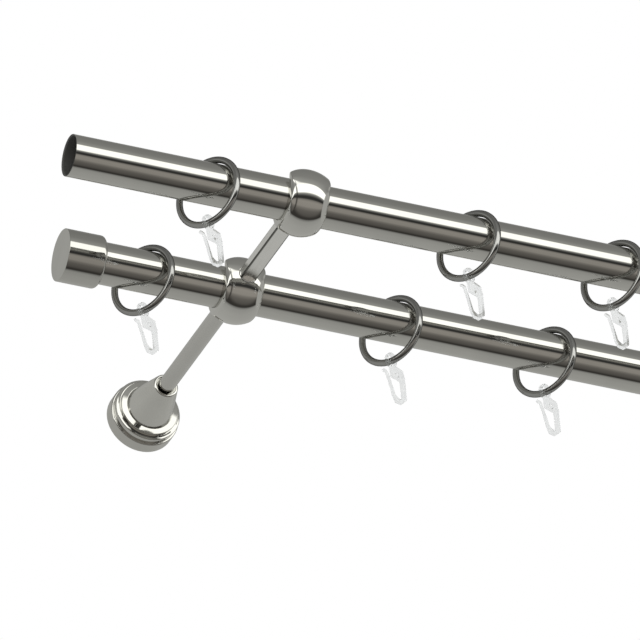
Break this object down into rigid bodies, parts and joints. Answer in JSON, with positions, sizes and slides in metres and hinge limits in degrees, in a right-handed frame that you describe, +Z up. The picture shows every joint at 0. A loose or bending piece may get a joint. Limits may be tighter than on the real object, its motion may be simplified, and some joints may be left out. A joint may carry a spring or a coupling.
{
  "type": "double curtain rod",
  "caption": "Double metal curtain rod: two parallel tubes on wall brackets with ball-shaped holders, sliding rings and clear hooks.",
  "frame": {"origin": "centre of the left wall plate's back face, on the wall", "axes": "+X along the tubes to the right, +Y into the wall, +Z up"},
  "size_m": [1.2, 0.281, 0.074],
  "materials": {
    "tube_metal": "polished nickel plate",
    "cap_metal": "polished side, satin face",
    "holder_metal": "mirror-polished nickel plate",
    "arm_metal": "satin nickel plate",
    "rosette_metal": "polished rings, satin drum",
    "socket_metal": "satin nickel plate",
    "ring_metal": "dark polished nickel wire",
    "plate_steel": "zinc plate",
    "screw_steel": "plain steel",
    "hook_plastic": "clear moulded plastic"
  },
  "bodies": {
    "frame": {"front_tube": "tube_metal", "back_tube": "tube_metal", "back_cap_left": "cap_metal", "back_cap_right": "cap_metal", "cap_screws": "screw_steel", "tube_screws": "screw_steel", "socket_screws": "screw_steel", "wall_plate_left": "plate_steel", "rosette_left": "rosette_metal", "wall_socket_left": "socket_metal", "wall_arm_left": "arm_metal", "back_holder_left": "holder_metal", "front_arm_left": "arm_metal", "front_holder_left": "holder_metal", "wall_plate_right": "plate_steel", "rosette_right": "rosette_metal", "wall_socket_right": "socket_metal", "wall_arm_right": "arm_metal", "back_holder_right": "holder_metal", "front_arm_right": "arm_metal", "front_holder_right": "holder_metal"},
    "front_ring_1": {"front_ring_1": "ring_metal"},
    "front_hook_1": {"front_hook_1": "hook_plastic"},
    "front_ring_2": {"front_ring_2": "ring_metal"},
    "front_hook_2": {"front_hook_2": "hook_plastic"},
    "front_ring_3": {"front_ring_3": "ring_metal"},
    "front_hook_3": {"front_hook_3": "hook_plastic"},
    "front_ring_4": {"front_ring_4": "ring_metal"},
    "front_hook_4": {"front_hook_4": "hook_plastic"},
    "front_ring_5": {"front_ring_5": "ring_metal"},
    "front_hook_5": {"front_hook_5": "hook_plastic"},
    "front_ring_6": {"front_ring_6": "ring_metal"},
    "front_hook_6": {"front_hook_6": "hook_plastic"},
    "back_ring_1": {"back_ring_1": "ring_metal"},
    "back_hook_1": {"back_hook_1": "hook_plastic"},
    "back_ring_2": {"back_ring_2": "ring_metal"},
    "back_hook_2": {"back_hook_2": "hook_plastic"},
    "back_ring_3": {"back_ring_3": "ring_metal"},
    "back_hook_3": {"back_hook_3": "hook_plastic"},
    "back_ring_4": {"back_ring_4": "ring_metal"},
    "back_hook_4": {"back_hook_4": "hook_plastic"},
    "back_ring_5": {"back_ring_5": "ring_metal"},
    "back_hook_5": {"back_hook_5": "hook_plastic"},
    "back_ring_6": {"back_ring_6": "ring_metal"},
    "back_hook_6": {"back_hook_6": "hook_plastic"}
  },
  "joints": [
    {"name": "front_ring_1_slide", "type": "slide", "parent": "frame", "child": "front_ring_1", "axis": [1, 0, 0], "range_m": [-0.056, 0.028]},
    {"name": "front_hook_1_swing", "type": "hinge", "parent": "front_ring_1", "child": "front_hook_1", "pos_m": [-0.0575, -0.261, -0.0267], "axis": [-0.5299, 0.848, 0], "range_deg": [-35, 35]},
    {"name": "front_ring_2_slide", "type": "slide", "parent": "frame", "child": "front_ring_2", "axis": [1, 0, 0], "range_m": [-0.07, 0.021]},
    {"name": "front_hook_2_swing", "type": "hinge", "parent": "front_ring_2", "child": "front_hook_2", "pos_m": [0.104, -0.261, -0.0267], "axis": [-0.5299, 0.848, 0], "range_deg": [-35, 35]},
    {"name": "front_ring_3_slide", "type": "slide", "parent": "frame", "child": "front_ring_3", "axis": [1, 0, 0], "range_m": [-0.018, 0.231]},
    {"name": "front_hook_3_swing", "type": "hinge", "parent": "front_ring_3", "child": "front_hook_3", "pos_m": [0.194, -0.261, -0.0267], "axis": [-0.5299, 0.848, 0], "range_deg": [-35, 35]},
    {"name": "front_ring_4_slide", "type": "slide", "parent": "frame", "child": "front_ring_4", "axis": [1, 0, 0], "range_m": [-0.231, 0.018]},
    {"name": "front_hook_4_swing", "type": "hinge", "parent": "front_ring_4", "child": "front_hook_4", "pos_m": [0.7194, -0.261, -0.0267], "axis": [-0.5299, 0.848, 0], "range_deg": [-35, 35]},
    {"name": "front_ring_5_slide", "type": "slide", "parent": "frame", "child": "front_ring_5", "axis": [1, 0, 0], "range_m": [-0.021, 0.07]},
    {"name": "front_hook_5_swing", "type": "hinge", "parent": "front_ring_5", "child": "front_hook_5", "pos_m": [0.8094, -0.261, -0.0267], "axis": [-0.5299, 0.848, 0], "range_deg": [-35, 35]},
    {"name": "front_ring_6_slide", "type": "slide", "parent": "frame", "child": "front_ring_6", "axis": [1, 0, 0], "range_m": [-0.028, 0.056]},
    {"name": "front_hook_6_swing", "type": "hinge", "parent": "front_ring_6", "child": "front_hook_6", "pos_m": [0.9709, -0.261, -0.0267], "axis": [-0.5299, 0.848, 0], "range_deg": [-35, 35]},
    {"name": "back_ring_1_slide", "type": "slide", "parent": "frame", "child": "back_ring_1", "axis": [1, 0, 0], "range_m": [-0.0125, 0.028]},
    {"name": "back_hook_1_swing", "type": "hinge", "parent": "back_ring_1", "child": "back_hook_1", "pos_m": [-0.058, -0.157, -0.0267], "axis": [-0.5299, 0.848, 0], "range_deg": [-35, 35]},
    {"name": "back_ring_2_slide", "type": "slide", "parent": "frame", "child": "back_ring_2", "axis": [1, 0, 0], "range_m": [-0.063, 0.021]},
    {"name": "back_hook_2_swing", "type": "hinge", "parent": "back_ring_2", "child": "back_hook_2", "pos_m": [0.0965, -0.157, -0.0267], "axis": [-0.5299, 0.848, 0], "range_deg": [-35, 35]},
    {"name": "back_ring_3_slide", "type": "slide", "parent": "frame", "child": "back_ring_3", "axis": [1, 0, 0], "range_m": [-0.0235, 0.2325]},
    {"name": "back_hook_3_swing", "type": "hinge", "parent": "back_ring_3", "child": "back_hook_3", "pos_m": [0.193, -0.157, -0.0267], "axis": [-0.5299, 0.848, 0], "range_deg": [-35, 35]},
    {"name": "back_ring_4_slide", "type": "slide", "parent": "frame", "child": "back_ring_4", "axis": [1, 0, 0], "range_m": [-0.2325, 0.0235]},
    {"name": "back_hook_4_swing", "type": "hinge", "parent": "back_ring_4", "child": "back_hook_4", "pos_m": [0.7204, -0.157, -0.0267], "axis": [-0.5299, 0.848, 0], "range_deg": [-35, 35]},
    {"name": "back_ring_5_slide", "type": "slide", "parent": "frame", "child": "back_ring_5", "axis": [1, 0, 0], "range_m": [-0.021, 0.063]},
    {"name": "back_hook_5_swing", "type": "hinge", "parent": "back_ring_5", "child": "back_hook_5", "pos_m": [0.8169, -0.157, -0.0267], "axis": [-0.5299, 0.848, 0], "range_deg": [-35, 35]},
    {"name": "back_ring_6_slide", "type": "slide", "parent": "frame", "child": "back_ring_6", "axis": [1, 0, 0], "range_m": [-0.028, 0.0125]},
    {"name": "back_hook_6_swing", "type": "hinge", "parent": "back_ring_6", "child": "back_hook_6", "pos_m": [0.9714, -0.157, -0.0267], "axis": [-0.5299, 0.848, 0], "range_deg": [-35, 35]}
  ]
}
